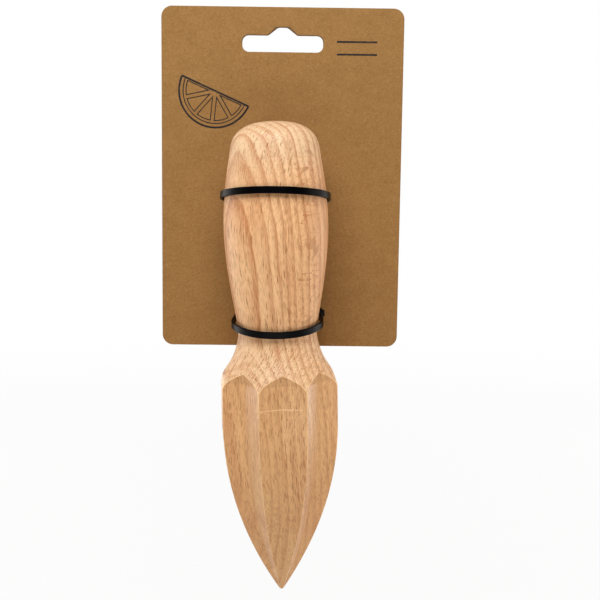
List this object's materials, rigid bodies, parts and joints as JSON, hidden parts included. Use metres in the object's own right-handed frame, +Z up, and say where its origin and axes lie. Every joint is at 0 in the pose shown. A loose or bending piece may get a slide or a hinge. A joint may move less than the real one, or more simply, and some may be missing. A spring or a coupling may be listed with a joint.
{
  "type": "citrus reamer",
  "caption": "Turned wooden citrus reamer with a smooth round handle and a grooved, pointed head, tied by cable ties to a board card with a hang slot.",
  "frame": {"origin": "middle of the bar of the card's hang slot, half way through the card", "axes": "+Z up along the card, -Y out of the card's front towards the reamer, +X to the right seen from the front"},
  "size_m": [0.09, 0.0454, 0.2168],
  "materials": {
    "kraft_board": "uncoated kraft board, fine fibres",
    "beech": "turned and sanded, unvarnished",
    "black_nylon": "moulded, slight sheen"
  },
  "bodies": {
    "card": {"hang_card": "kraft_board", "upper_cable_tie": "black_nylon", "lower_cable_tie": "black_nylon"},
    "reamer": {"reamer": "beech"}
  },
  "joints": [
    {"name": "reamer_turn", "type": "hinge", "parent": "card", "child": "reamer", "pos_m": [-0.0026, -0.0198, -0.02865], "axis": [-0.0248, 0, 0.9997], "continuous": true}
  ]
}
